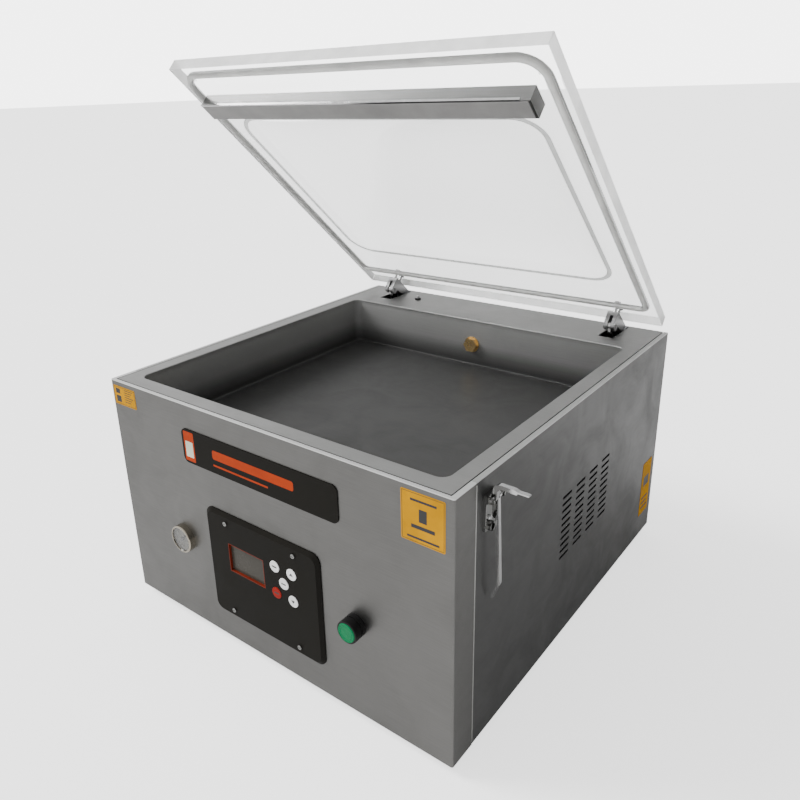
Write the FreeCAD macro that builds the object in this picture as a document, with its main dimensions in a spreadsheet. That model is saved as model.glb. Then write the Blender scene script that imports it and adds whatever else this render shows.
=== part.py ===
import FreeCAD, Part
import math
import os
import re
import Sketcher

# Table-top chamber vacuum packing machine, in millimetres with +Z up and the front towards -Y.
# Every sub-part is drawn about the middle of the cabinet's footprint with z = 0 on the table.
# The row's frame starts at the middle of the front left foot's resting face, so the finished
# sub-parts are all shifted by (foot_x, foot_y). The clear lid is drawn shut and then turned open.

DIMENSIONS = {
    # cabinet
    "cabinet_width": 530, "cabinet_depth": 572, "cabinet_height": 319, "foot_height": 12,
    "sheet_gauge": 1.5, "pan_gauge": 2, "pan_flange": 20, "front_return": 38, "top_flange": 6,
    "panel_gap": 1.4, "foot_x": 225, "foot_y": 246, "foot_radius": 17,
    # vacuum chamber
    "chamber_width": 475, "chamber_front": -258.5, "chamber_back": 189.5, "chamber_depth": 74,
    "chamber_wall": 2, "chamber_floor": 3, "chamber_corner": 12,
    "plug_x": -4, "plug_z": 291, "plug_bore": 7,
    # side louvres
    "vent_pitch_y": 38.4, "vent_first_y": -36.3, "vent_pitch_z": 9.25, "vent_top_z": 217.6,
    "vent_length": 25, "vent_height": 3.6,
    # lid, drawn shut
    "lid_width": 525, "lid_length": 540, "lid_thickness": 16, "lid_back": 255, "lid_under": 333.8,
    "lid_angle": 42, "lid_corner": 4, "dome_half_width": 220, "dome_back": 118, "dome_front": 445,
    "dome_rise": 18, "gasket_x": 250, "gasket_front": 526.5, "gasket_back": 45,
    "gasket_width": 8.5, "gasket_proud": 2.5, "gasket_groove": 4,
    "gasket_front_corner": 27, "gasket_back_corner": 11,
    "bar_front": 492, "bar_back": 465, "bar_height": 17.2, "bar_half": 235,
    # hinges and gas springs
    "hinge_x": 198, "hinge_y": 274.5, "hinge_z": 327.8, "bracket_width": 16, "bracket_bar": 12,
    "pin_radius": 3, "slot_front": 219.5, "slot_back": 281.5, "slot_half": 11.2,
    "spring_pin_y": 235, "spring_pin_z": 313.8, "rod_length": 110, "tube_y": 234.2,
    "tube_radius": 9, "tube_bore": 5.2,
    # sealing bar
    "seal_y": -223.5, "seal_width": 25, "seal_half": 225, "seal_bottom": 268, "seal_top": 288,
    "piston_x": 140, "piston_radius": 6,
    # control panel
    "panel_half_width": 94, "panel_half_height": 75.75, "panel_z": 127.25, "panel_proud": 4.5,
    "screw_x": 56.6, "screw_rise": 63, "window_left": -55.5, "window_right": 5.5,
    "window_low": 124, "window_high": 163.3, "key_radius": 7.4,
    # gauge and start button
    "gauge_x": -146, "button_x": 142, "fitting_z": 135.5, "gauge_radius": 19,
    "button_radius": 13.5, "cap_radius": 11.4,
    # name plate
    "plate_half": 125, "plate_low": 253.5, "plate_high": 299,
    # side latch
    "latch_y": -225.5, "latch_half": 11, "latch_low": 270, "latch_high": 312,
}

doc = FreeCAD.newDocument("VacuumPackingMachine")
sheet = doc.addObject("Spreadsheet::Sheet", "Dims")
for line, (alias, size) in enumerate(DIMENSIONS.items(), start=1):
    sheet.set(f"A{line}", alias)
    sheet.set(f"B{line}", str(size))
    sheet.setAlias(f"B{line}", alias)
doc.recompute()

ALIAS = re.compile(r"\b(" + "|".join(DIMENSIONS) + r")\b")
SUB_PARTS = []


def formula(text):
    """A formula on the sheet's aliases, in the form that setExpression takes."""
    return ALIAS.sub(r"Dims.\1", str(text))


def size(text):
    """The value of a formula on the sheet's aliases."""
    return float(sheet.evalExpression(formula(text)))


def minus(text):
    """The formula with its sign turned."""
    return f"-({text})"


# ---- outlines: each returns a function that draws into a sketch ----

def rectangle(x0, y0, x1, y1):
    """A rectangle whose four sides are bound to the sheet."""
    def draw(sketch):
        start = sketch.GeometryCount
        left, low, right, high = size(x0), size(y0), size(x1), size(y1)
        corners = [(left, low), (right, low), (right, high), (left, high)]
        for one, two in zip(corners, corners[1:] + corners[:1]):
            sketch.addGeometry(Part.LineSegment(FreeCAD.Vector(*one, 0), FreeCAD.Vector(*two, 0)))
        for side in range(4):
            joint = ("Coincident", start + side, 2, start + (side + 1) % 4, 1)
            sketch.addConstraint(Sketcher.Constraint(*joint))
        for side, kind in enumerate(("Horizontal", "Vertical") * 2):
            sketch.addConstraint(Sketcher.Constraint(kind, start + side))
        for kind, geometry, text in (("DistanceX", 0, x0), ("DistanceY", 0, y0),
                                     ("DistanceX", 2, x1), ("DistanceY", 2, y1)):
            bound = Sketcher.Constraint(kind, -1, 1, start + geometry, 1, size(text))
            index = sketch.addConstraint(bound)
            sketch.setExpression(f"Constraints[{index}]", formula(text))
    return draw


def disc(x, y, radius):
    """A circle whose centre and radius are bound to the sheet."""
    def draw(sketch):
        centre = FreeCAD.Vector(size(x), size(y), 0)
        circle = Part.Circle(centre, FreeCAD.Vector(0, 0, 1), size(radius))
        number = sketch.addGeometry(circle)
        for kind, text in (("DistanceX", x), ("DistanceY", y)):
            index = sketch.addConstraint(Sketcher.Constraint(kind, -1, 1, number, 3, size(text)))
            sketch.setExpression(f"Constraints[{index}]", formula(text))
        index = sketch.addConstraint(Sketcher.Constraint("Radius", number, size(radius)))
        sketch.setExpression(f"Constraints[{index}]", formula(radius))
    return draw


def outline(points, fillets=()):
    """A closed outline through points, its corners rounded by the radius of the same place."""
    def draw(sketch):
        path = [FreeCAD.Vector(size(x), size(y), 0) for x, y in points]
        radii = [size(fillet) for fillet in fillets] or [0] * len(path)
        ends = []
        for index, corner in enumerate(path):
            before, after = path[index - 1], path[(index + 1) % len(path)]
            into, away = (before - corner).normalize(), (after - corner).normalize()
            if radii[index] == 0:
                ends.append((corner, corner))
                continue
            half = into.getAngle(away) / 2
            reach = radii[index] / math.tan(half)
            start, stop = corner + into * reach, corner + away * reach
            centre = corner + (into + away).normalize() * (radii[index] / math.sin(half))
            middle = centre + (corner - centre).normalize() * radii[index]
            sketch.addGeometry(Part.Arc(start, middle, stop))
            ends.append((start, stop))
        for index, (_, leave) in enumerate(ends):
            arrive = ends[(index + 1) % len(ends)][0]
            if leave.distanceToPoint(arrive) > 1e-6:
                sketch.addGeometry(Part.LineSegment(leave, arrive))
    return draw


def rounded(x0, y0, x1, y1, radius):
    """A rectangle with round corners."""
    return outline([(x0, y0), (x1, y0), (x1, y1), (x0, y1)], [radius] * 4)


def several(*drawings):
    """More than one outline in the same sketch."""
    def draw(sketch):
        for drawing in drawings:
            drawing(sketch)
    return draw


# ---- bodies and features ----

def new_body(label):
    body = doc.addObject("PartDesign::Body", label)
    body.Label = label
    if hasattr(body, "AllowCompound"):
        body.AllowCompound = True
    return body


def sketch_at(body, axis, level, draw):
    """A sketch across an axis. Seen along X it is (y, z), along Y (x, z) and along Z (x, y)."""
    role = {"X": "YZ_Plane", "Y": "XZ_Plane", "Z": "XY_Plane"}[axis]
    plane = next(item for item in body.Origin.OriginFeatures if item.Role == role)
    sketch = body.newObject("Sketcher::SketchObject", f"{body.Name}_sketch")
    sketch.AttachmentSupport = [(plane, "")]
    sketch.MapMode = "FlatFace"
    offset = minus(level) if axis == "Y" else level
    sketch.AttachmentOffset = FreeCAD.Placement(FreeCAD.Vector(0, 0, size(offset)),
                                                FreeCAD.Rotation())
    sketch.setExpression("AttachmentOffset.Base.z", formula(offset))
    draw(sketch)
    return sketch


def add(body, axis, low, high, draw):
    """Material between two levels of an axis."""
    level = high if axis == "Y" else low
    pad = body.newObject("PartDesign::Pad", f"{body.Name}_pad")
    pad.Profile = sketch_at(body, axis, level, draw)
    pad.Length = size(f"({high}) - ({low})")
    pad.setExpression("Length", formula(f"({high}) - ({low})"))
    doc.recompute()
    return pad


def cut(body, axis, low, high, draw):
    """A pocket between two levels of an axis; it must take some material away."""
    before = body.Shape.Volume
    level = low if axis == "Y" else high
    pocket = body.newObject("PartDesign::Pocket", f"{body.Name}_pocket")
    pocket.Profile = sketch_at(body, axis, level, draw)
    pocket.Length = size(f"({high}) - ({low})")
    pocket.setExpression("Length", formula(f"({high}) - ({low})"))
    doc.recompute()
    if body.Shape.Volume > before - 1e-3:
        raise ValueError(f"a pocket of {body.Label} cuts nothing")
    return pocket


def blend(body, kind, axis, levels, draws):
    """A straight-sided loft between two sketches: AdditiveLoft or SubtractiveLoft."""
    loft = body.newObject(f"PartDesign::{kind}", f"{body.Name}_loft")
    first, second = (sketch_at(body, axis, level, draw) for level, draw in zip(levels, draws))
    loft.Profile = first
    loft.Sections = [second]
    loft.Ruled = True
    doc.recompute()
    return loft


def soften(body, radius, chosen):
    """Round the edges that the test picks, by the middle of each edge."""
    base = body.Tip
    names = [f"Edge{index}" for index, edge in enumerate(base.Shape.Edges, start=1)
             if chosen(edge.CenterOfMass, edge)]
    fillet = body.newObject("PartDesign::Fillet", f"{body.Name}_fillet")
    fillet.Base = (base, names)
    fillet.Radius = size(radius)
    fillet.setExpression("Radius", formula(radius))
    doc.recompute()
    return fillet


def frame_shift():
    return FreeCAD.Placement(FreeCAD.Vector(size("foot_x"), size("foot_y"), 0),
                             FreeCAD.Rotation())


def lid_turn():
    """The turn about the hinge axis that opens the lid from shut."""
    centre = FreeCAD.Vector(0, size("hinge_y"), size("hinge_z"))
    spin = FreeCAD.Rotation(FreeCAD.Vector(1, 0, 0), -size("lid_angle"))
    return FreeCAD.Placement(FreeCAD.Vector(0, 0, 0), spin, centre)


def keep(body, opened=False):
    """Set the sub-part's Placement and list it for export."""
    body.Placement = frame_shift() * lid_turn() if opened else frame_shift()
    SUB_PARTS.append(body)


# ---- cabinet ----

RIM = "foot_height + cabinet_height"
SIDE = "cabinet_width / 2"
BACK = "cabinet_depth / 2"
FRONT = "-cabinet_depth / 2"
SIDE_INSIDE = f"{SIDE} - sheet_gauge"
BACK_INSIDE = f"{BACK} - sheet_gauge"


def base_pan():
    pan = new_body("base_pan")
    add(pan, "Z", "foot_height", "foot_height + pan_gauge + pan_flange",
        rounded(minus(SIDE_INSIDE), minus(BACK_INSIDE), SIDE_INSIDE, BACK_INSIDE, 1.5))
    inner_x, inner_y = f"{SIDE_INSIDE} - pan_gauge", f"{BACK_INSIDE} - pan_gauge"
    cut(pan, "Z", "foot_height + pan_gauge", "foot_height + pan_gauge + pan_flange",
        rectangle(minus(inner_x), minus(inner_y), inner_x, inner_y))
    slots = [rounded(f"{x} - 30", f"{y} - 2.5", f"{x} + 30", f"{y} + 2.5", 2.4)
             for x in (-120, 0, 120) for y in (-150, -130, -110)]
    cut(pan, "Z", "foot_height", "foot_height + pan_gauge", several(*slots))
    cut(pan, "Y", f"{BACK_INSIDE} - pan_gauge", BACK_INSIDE,
        several(disc(-250, 29.5, 2.1), disc(250, 29.5, 2.1)))
    keep(pan)


def rubber_feet():
    feet = new_body("rubber_feet")
    places = [(x, y) for x in ("-foot_x", "foot_x") for y in ("-foot_y", "foot_y")]
    add(feet, "Z", 0, "foot_height", several(*[disc(x, y, "foot_radius") for x, y in places]))
    keep(feet)


def front_panel():
    panel = new_body("front_panel")
    add(panel, "Z", "foot_height", RIM,
        rectangle(minus(SIDE), FRONT, SIDE, f"{FRONT} + front_return"))
    soften(panel, 2.5, lambda middle, edge: abs(middle.z - size(RIM) / 2 - 6) < 1
           and middle.y < size(FRONT) + 1)
    cut(panel, "Z", "foot_height", f"{RIM} - sheet_gauge",
        rounded(minus(SIDE_INSIDE), f"{FRONT} + sheet_gauge", SIDE_INSIDE,
                f"{FRONT} + front_return + 5", 1))
    lip_x = f"{SIDE} - top_flange"
    cut(panel, "Z", f"{RIM} - sheet_gauge", RIM,
        rectangle(minus(lip_x), f"{FRONT} + 4.5", lip_x, f"{FRONT} + front_return + 5"))
    holes = [disc("gauge_x", "fitting_z", 17.3), disc("button_x", "fitting_z", 11.2),
             rectangle(-74, 74, 74, 182)]
    holes += [disc(x, z, 1.7) for x in ("-screw_x", "screw_x")
              for z in ("panel_z - screw_rise", "panel_z + screw_rise")]
    cut(panel, "Y", FRONT, f"{FRONT} + sheet_gauge", several(*holes))
    keep(panel)


def side_panel(name, side):
    """side is -1 for the left panel and 1 for the right one."""
    panel = new_body(name)

    def span(inner, outer):
        return (inner, outer) if side > 0 else (minus(outer), minus(inner))

    start = f"{FRONT} + front_return + 0.4"
    low, high = span(SIDE_INSIDE, SIDE)
    add(panel, "X", low, high, rectangle(start, "foot_height + 1", BACK, RIM))
    flange = span(f"{SIDE} - top_flange", SIDE_INSIDE)
    add(panel, "X", flange[0], flange[1], rectangle(start, f"{RIM} - sheet_gauge", BACK, RIM))
    slots = []
    for column in range(4):
        for row in range(10):
            y = f"vent_first_y + {column} * vent_pitch_y"
            z = f"vent_top_z - {row} * vent_pitch_z"
            slots.append(rounded(f"{y} - vent_length / 2", f"{z} - vent_height / 2",
                                 f"{y} + vent_length / 2", f"{z} + vent_height / 2", 1.7))
    cut(panel, "X", low, high, several(*slots))
    keep(panel)


def rear_panel():
    panel = new_body("rear_panel")
    add(panel, "Y", BACK_INSIDE, BACK,
        rectangle(minus(SIDE_INSIDE), "foot_height", SIDE_INSIDE, f"{RIM} - 2"))
    slots = [rounded(f"{x} - 35", f"{z} - 2", f"{x} + 35", f"{z} + 2", 1.9)
             for x in (-150, 0) for z in range(120, 201, 10)]
    slots.append(rectangle(166, 50.5, 194, 71.5))
    slots += [disc(x, z, 2.1) for x in (-250, 250) for z in (29.5, 170, 315)]
    cut(panel, "Y", BACK_INSIDE, BACK, several(*slots))
    keep(panel)


def rear_screws():
    screws = new_body("rear_screws")
    places = [(x, z) for x in (-250, 250) for z in (29.5, 170, 315)]
    add(screws, "Y", f"{BACK} - 8", BACK, several(*[disc(x, z, 2) for x, z in places]))
    add(screws, "Y", BACK, f"{BACK} + 2.6", several(*[disc(x, z, 4) for x, z in places]))
    keep(screws)


def power_inlet():
    """Appliance inlet: flange, shell through the rear panel and three flat pins in a recess."""
    inlet = new_body("power_inlet")
    add(inlet, "Y", BACK, f"{BACK} + 2.5", rounded(155, 46, 205, 76, 4))
    add(inlet, "Y", f"{BACK} - 26", BACK, rectangle(166, 50.5, 194, 71.5))
    cut(inlet, "Y", f"{BACK} - 17", f"{BACK} + 2.5",
        outline([(168, 53), (192, 53), (192, 64), (187, 69), (173, 69), (168, 64)], [1.5] * 6))
    for x, z in ((173.5, 59), (180, 63), (186.5, 59)):
        add(inlet, "Y", f"{BACK} - 18", f"{BACK} - 4",
            rectangle(f"{x} - 1", f"{z} - 2", f"{x} + 1", f"{z} + 2"))
    keep(inlet)


# ---- chamber, sealing bar and vacuum line ----

FLOOR = f"{RIM} - chamber_depth"
CHAMBER_X = "chamber_width / 2"


def chamber_tub():
    """Deep-drawn tub whose flange is the machine's top plate."""
    tub = new_body("chamber_tub")
    plate_x = f"{SIDE} - top_flange - panel_gap"
    add(tub, "Z", f"{RIM} - chamber_wall", RIM,
        rectangle(minus(plate_x), f"{FRONT} + 4.5 + panel_gap", plate_x, BACK))
    wall_x = f"{CHAMBER_X} + chamber_wall"
    add(tub, "Z", f"{FLOOR} - chamber_floor", f"{RIM} - chamber_wall",
        rounded(minus(wall_x), "chamber_front - chamber_wall", wall_x,
                "chamber_back + chamber_wall", "chamber_corner + chamber_wall"))
    cut(tub, "Z", FLOOR, RIM, rounded(minus(CHAMBER_X), "chamber_front", CHAMBER_X,
                                      "chamber_back", "chamber_corner"))
    soften(tub, 3, lambda middle, edge: abs(middle.z - size(FLOOR)) < 0.01)
    soften(tub, 1.6, lambda middle, edge: abs(middle.z - size(RIM)) < 0.01
           and abs(middle.x) < size(CHAMBER_X) + 0.1
           and size("chamber_front") - 0.1 < middle.y < size("chamber_back") + 0.1)
    slots = [rectangle(f"{x} - slot_half", "slot_front", f"{x} + slot_half", "slot_back")
             for x in ("-hinge_x", "hinge_x")]
    slots.append(disc(-146, 243.5, 4.3))
    cut(tub, "Z", f"{RIM} - chamber_wall", RIM, several(*slots))
    cut(tub, "Z", f"{FLOOR} - chamber_floor", FLOOR,
        several(disc("-piston_x", "seal_y", 8.2), disc("piston_x", "seal_y", 8.2)))
    cut(tub, "Y", "chamber_back", "chamber_back + chamber_wall",
        disc("plug_x", "plug_z", "plug_bore"))
    keep(tub)


def hexagon(x, y, flat):
    """A hexagon by its width across flats."""
    reach = flat / 2 / math.cos(math.pi / 6)
    turns = [math.pi / 3 * step for step in range(6)]
    return outline([(f"{x} + {reach * math.cos(turn)}", f"{y} + {reach * math.sin(turn)}")
                    for turn in turns])


def vacuum_plug():
    """Brass suction fitting: hexagon and washer inside, threaded tail and hose barb outside."""
    plug = new_body("vacuum_plug")
    add(plug, "Y", "chamber_back - 1.6", "chamber_back", disc("plug_x", "plug_z", 12.5))
    add(plug, "Y", "chamber_back - 8", "chamber_back - 1.6", hexagon("plug_x", "plug_z", 20))
    add(plug, "Y", "chamber_back", "chamber_back + 16", disc("plug_x", "plug_z", 6.8))
    add(plug, "Y", "chamber_back + 16", "chamber_back + 30", disc("plug_x", "plug_z", 6))
    add(plug, "Y", "chamber_back + chamber_wall", "chamber_back + 8",
        hexagon("plug_x", "plug_z", 20))
    cut(plug, "Y", "chamber_back - 6", "chamber_back + 30", disc("plug_x", "plug_z", 3.4))
    cut(plug, "Z", "plug_z - 12", "plug_z + 12", disc("plug_x", "chamber_back - 4", 1.6))
    keep(plug)


def vacuum_hose():
    """Reinforced hose from the suction fitting down to the pump's inlet."""
    hose = new_body("vacuum_hose")
    path = hose.newObject("Sketcher::SketchObject", "vacuum_hose_path")
    plane = next(item for item in hose.Origin.OriginFeatures if item.Role == "YZ_Plane")
    path.AttachmentSupport = [(plane, "")]
    path.MapMode = "FlatFace"
    path.AttachmentOffset = FreeCAD.Placement(FreeCAD.Vector(0, 0, size("plug_x")),
                                              FreeCAD.Rotation())
    y, z, low = size("chamber_back + 30.3"), size("plug_z"), 168.4
    drop = 236.0 - y
    centre = FreeCAD.Vector(y, z - drop, 0)
    path.addGeometry(Part.Arc(FreeCAD.Vector(y, z, 0),
                              centre + FreeCAD.Vector(1, 1, 0).normalize() * drop,
                              FreeCAD.Vector(y + drop, z - drop, 0)))
    path.addGeometry(Part.LineSegment(FreeCAD.Vector(y + drop, z - drop, 0),
                                      FreeCAD.Vector(y + drop, low, 0)))
    pipe = hose.newObject("PartDesign::AdditivePipe", "vacuum_hose_pipe")
    pipe.Profile = sketch_at(hose, "Y", "chamber_back + 30.3", disc("plug_x", "plug_z", 8))
    pipe.Spine = path
    doc.recompute()
    keep(hose)


def seal_bar():
    bar = new_body("seal_bar")
    add(bar, "X", "-seal_half", "seal_half",
        outline([("seal_y - seal_width / 2", "seal_bottom"), ("seal_y + seal_width / 2", "seal_bottom"),
                 ("seal_y + seal_width / 2", "seal_top"), ("seal_y - seal_width / 2", "seal_top")],
                [1, 1, 3, 3]))
    keep(bar)
    heater = new_body("seal_bar_heater")
    add(heater, "X", "3 - seal_half", "seal_half - 3",
        rectangle("seal_y - 7", "seal_top", "seal_y + 7", "seal_top + 1"))
    for y in (-3, 3):
        add(heater, "X", "3 - seal_half", "seal_half - 3",
            rectangle(f"seal_y + {y} - 1.2", "seal_top + 1", f"seal_y + {y} + 1.2",
                      "seal_top + 1.6"))
    keep(heater)


def seal_bar_lift():
    """Two pistons that push the bar up, and the cylinders under the chamber that guide them."""
    rods = new_body("seal_bar_pistons")
    places = [("-piston_x", "seal_y"), ("piston_x", "seal_y")]
    add(rods, "Z", "seal_bottom - 54", "seal_bottom",
        several(*[disc(x, y, "piston_radius") for x, y in places]))
    keep(rods)
    cylinders = new_body("lift_cylinders")
    add(cylinders, "Z", f"{FLOOR} - chamber_floor - 54", f"{FLOOR} - chamber_floor",
        several(*[disc(x, y, 15) for x, y in places]))
    add(cylinders, "Z", f"{FLOOR} - chamber_floor", f"{FLOOR} + 3",
        several(*[disc(x, y, 8) for x, y in places]))
    cut(cylinders, "Z", f"{FLOOR} - chamber_floor - 48", f"{FLOOR} + 3",
        several(*[disc(x, y, "piston_radius + 0.08") for x, y in places]))
    keep(cylinders)


# ---- lid, drawn shut ----

LID_TOP = "lid_under + lid_thickness"
LID_FRONT = "lid_back - lid_length"


def lid():
    """Thick clear plate, blown up into a shallow dome over the chamber."""
    plate = new_body("lid")
    half = "lid_width / 2"
    add(plate, "Z", "lid_under", LID_TOP, rounded(minus(half), LID_FRONT, half, "lid_back",
                                                  "lid_corner"))

    def dome(grow):
        return rounded(f"-dome_half_width - ({grow})", f"lid_back - dome_front - ({grow})",
                       f"dome_half_width + ({grow})", f"lid_back - dome_back + ({grow})", 45)

    blend(plate, "AdditiveLoft", "Z", (LID_TOP, f"{LID_TOP} + dome_rise - 4"), (dome(6), dome(-26)))
    blend(plate, "SubtractiveLoft", "Z", ("lid_under", "lid_under + dome_rise + 2"),
          (dome(0), dome(-30)))
    groove = "gasket_width / 2 + 0.2"
    cut(plate, "Z", "lid_under", "lid_under + gasket_groove", several(*gasket_ring(groove)))
    bolts = [disc(x, y, 2.8) for x, y in BOLT_PLACES]
    cut(plate, "Z", "lid_under", LID_TOP, several(*bolts))
    keep(plate, opened=True)


def gasket_ring(half_width):
    """The two outlines of the gasket's ring, outer and inner, at half a width each way."""
    outlines = []
    for sign in ("+", "-"):
        grow = f"(0 {sign} ({half_width}))"
        side = f"gasket_x + {grow}"
        front = f"lid_back - gasket_front - {grow}"
        back = f"lid_back - gasket_back + {grow}"
        corners = [f"gasket_{end}_corner + {grow}" for end in ("front", "front", "back", "back")]
        outlines.append(outline([(minus(side), front), (side, front),
                                 (side, back), (minus(side), back)], corners))
    return outlines


def lid_gasket():
    gasket = new_body("lid_gasket")
    add(gasket, "Z", "lid_under - gasket_proud", "lid_under + gasket_groove",
        several(*gasket_ring("gasket_width / 2")))
    keep(gasket, opened=True)


def counter_bar():
    """Aluminium bar under the lid that the sealing bar presses against, faced with silicone."""
    bar = new_body("counter_bar")
    low, front, back = "lid_under - bar_height", "lid_back - bar_front", "lid_back - bar_back"
    add(bar, "X", "-bar_half", "bar_half",
        outline([(front, low), (back, low), (back, "lid_under"), (front, "lid_under")],
                [1.2, 1.2, 0, 0]))
    cut(bar, "X", "3 - bar_half", "bar_half - 3",
        rectangle(f"{front} + 1.8", low, f"{back} - 1.8", f"{low} + 2.6"))
    keep(bar, opened=True)
    facing = new_body("counter_bar_silicone")
    add(facing, "X", "3 - bar_half", "bar_half - 3",
        outline([(f"{front} + 1.8", f"{low} - 1"), (f"{back} - 1.8", f"{low} - 1"),
                 (f"{back} - 1.8", f"{low} + 2.6"), (f"{front} + 1.8", f"{low} + 2.6")],
                [0.8, 0.8, 0, 0]))
    keep(facing, opened=True)


# ---- hinges and gas springs ----

BOLT_PLACES = [(x, y) for x in ("-hinge_x", "hinge_x")
               for y in ("lid_back - 7.5", "lid_back - 22")]
BAR_LOW = "lid_under - bracket_bar"
LEG_LOW = "lid_under - 26"


def hinge_bracket(name, x):
    """Cast bracket: a bar under the lid back to the hinge pin, and a forked leg for the spring."""
    bracket = new_body(name)
    edge = "bracket_width / 2"
    end = "hinge_y + bracket_bar / 2"
    leg_front, leg_back = "lid_back - 27", "lid_back - 13.5"
    add(bracket, "X", f"{x} - {edge}", f"{x} + {edge}",
        outline([(leg_front, LEG_LOW), (leg_back, LEG_LOW), (f"{leg_back} + 2", "lid_under - 16"),
                 ("lid_back + 2", "lid_under - 15"), ("hinge_y - 5", BAR_LOW), (end, BAR_LOW),
                 (end, "lid_under"), (leg_front, "lid_under")], [5, 5, 2, 3, 3, 5.9, 5.9, 2]))
    cut(bracket, "X", f"{x} - {edge}", f"{x} + {edge}",
        several(disc("hinge_y", "hinge_z", "pin_radius + 0.04"),
                disc("spring_pin_y", "spring_pin_z", "pin_radius + 0.04")))
    cut(bracket, "Y", leg_front, f"{leg_back} + 2",
        rectangle(f"{x} - 2.3", LEG_LOW, f"{x} + 2.3", f"{LEG_LOW} + 19"))
    holes = [disc(place, y, 2.6) for place, y in BOLT_PLACES if place == x]
    cut(bracket, "Z", "lid_under - 5", "lid_under", several(*holes))
    keep(bracket, opened=True)


def bracket_bolts():
    bolts = new_body("bracket_bolts")
    add(bolts, "Z", "lid_under - 4.8", LID_TOP, several(*[disc(x, y, 2.5) for x, y in BOLT_PLACES]))
    add(bolts, "Z", LID_TOP, f"{LID_TOP} + 3.2",
        several(*[disc(x, y, 5) for x, y in BOLT_PLACES]))
    cut(bolts, "Z", f"{LID_TOP} + 1.4", f"{LID_TOP} + 3.2",
        several(*[hexagon(x, y, 3) for x, y in BOLT_PLACES]))
    keep(bolts, opened=True)


def gas_spring_pins():
    pins = new_body("gas_spring_pins")
    for x in ("-hinge_x", "hinge_x"):
        add(pins, "X", f"{x} - bracket_width / 2 + 0.3", f"{x} + bracket_width / 2 - 0.3",
            disc("spring_pin_y", "spring_pin_z", "pin_radius"))
    keep(pins, opened=True)


def hinge_bases():
    """Steel clevis under the top plate on each side, its ears standing up through the slot."""
    bases = new_body("hinge_bases")
    low, plate_under = "hinge_z - 13", f"{RIM} - chamber_wall"
    for x in ("-hinge_x", "hinge_x"):
        add(bases, "X", f"{x} - 10.9", f"{x} + 10.9",
            outline([("hinge_y - 6.5", low), ("hinge_y + 6.5", low),
                     ("hinge_y + 6.5", "hinge_z + 5.5"), ("hinge_y - 6.5", "hinge_z + 5.5")],
                    [0, 0, 5, 5]))
        add(bases, "X", f"{x} - 19", f"{x} + 19",
            rectangle("hinge_y - 6.5", f"{plate_under} - 2.5", "hinge_y + 6.5", plate_under))
        cut(bases, "X", f"{x} - 8.3", f"{x} + 8.3",
            rectangle("hinge_y - 7", f"{low} + 4", "hinge_y + 7", "hinge_z + 6"))
        cut(bases, "X", f"{x} - 11", f"{x} + 11", disc("hinge_y", "hinge_z", "pin_radius + 0.02"))
    keep(bases)


def hinge_pins():
    pins = new_body("hinge_pins")
    for x in ("-hinge_x", "hinge_x"):
        add(pins, "X", f"{x} - 10.9", f"{x} + 10.9", disc("hinge_y", "hinge_z", "pin_radius"))
    keep(pins)


def open_spring_pin():
    """Where the gas spring's upper pin is with the lid open."""
    shut = FreeCAD.Vector(0, size("spring_pin_y"), size("spring_pin_z"))
    return lid_turn().multVec(shut)


def gas_spring_rod(name, x):
    """Eye around the bracket's pin and the polished rod below it, upright with the lid open."""
    rod = new_body(name)
    pin = open_spring_pin()
    add(rod, "Z", f"{pin.z} - rod_length", f"{pin.z} - 9.8", disc(x, pin.y, 3))
    add(rod, "X", f"{x} - 2", f"{x} + 2", disc(pin.y, pin.z, 5))
    add(rod, "X", f"{x} - 2", f"{x} + 2",
        rectangle(f"{pin.y} - 3.2", f"{pin.z} - 10.8", f"{pin.y} + 3.2", f"{pin.z} - 3.5"))
    cut(rod, "X", f"{x} - 2", f"{x} + 2", disc(pin.y, pin.z, "pin_radius + 0.06"))
    keep(rod)


def gas_spring_tube(name, x):
    """Pressure tube on its foot; the bore leaves the rod room to sway as the lid moves."""
    tube = new_body(name)
    pan = "foot_height + pan_gauge"
    add(tube, "Z", pan, f"{pan} + 6", rectangle(f"{x} - 14", "tube_y - 14", f"{x} + 14",
                                                "tube_y + 14"))
    add(tube, "Z", f"{pan} + 6", f"{pan} + 50", disc(x, "tube_y", 5))
    add(tube, "Z", f"{pan} + 50", 268, disc(x, "tube_y", "tube_radius"))
    cut(tube, "Z", f"{pan} + 60", 268, disc(x, "tube_y", "tube_bore"))
    keep(tube)


# ---- lid switch ----

def lid_switch():
    x, y = -146, 243.5
    plunger = new_body("lid_switch_plunger")
    add(plunger, "Z", 318, f"{RIM} + 6.5", disc(x, y, 3))
    soften(plunger, 1.2, lambda middle, edge: middle.z > size(RIM))
    keep(plunger)
    switch = new_body("lid_switch_body")
    add(switch, "Z", f"{RIM} - 30", f"{RIM} - chamber_wall",
        rectangle(f"{x} - 12", f"{y} - 7", f"{x} + 12", f"{y} + 7"))
    add(switch, "Z", f"{RIM} - chamber_wall", RIM, disc(x, y, 4.2))
    add(switch, "Z", RIM, f"{RIM} + 1.8", disc(x, y, 5.5))
    cut(switch, "Z", f"{RIM} - 19", f"{RIM} + 1.8", disc(x, y, 3.1))
    keep(switch)


# ---- control panel ----

KEY_PLACES = [("top_left", 24.7, 163.1), ("top_right", 51.6, 163.1), ("middle", 38, 144.7),
              ("stop", 24.9, 126.8), ("low_right", 51.6, 126.4)]
PANEL_FACE = f"{FRONT} - panel_proud"
SCREW_PLACES = [(x, z) for x in ("-screw_x", "screw_x")
                for z in ("panel_z - screw_rise", "panel_z + screw_rise")]


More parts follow.
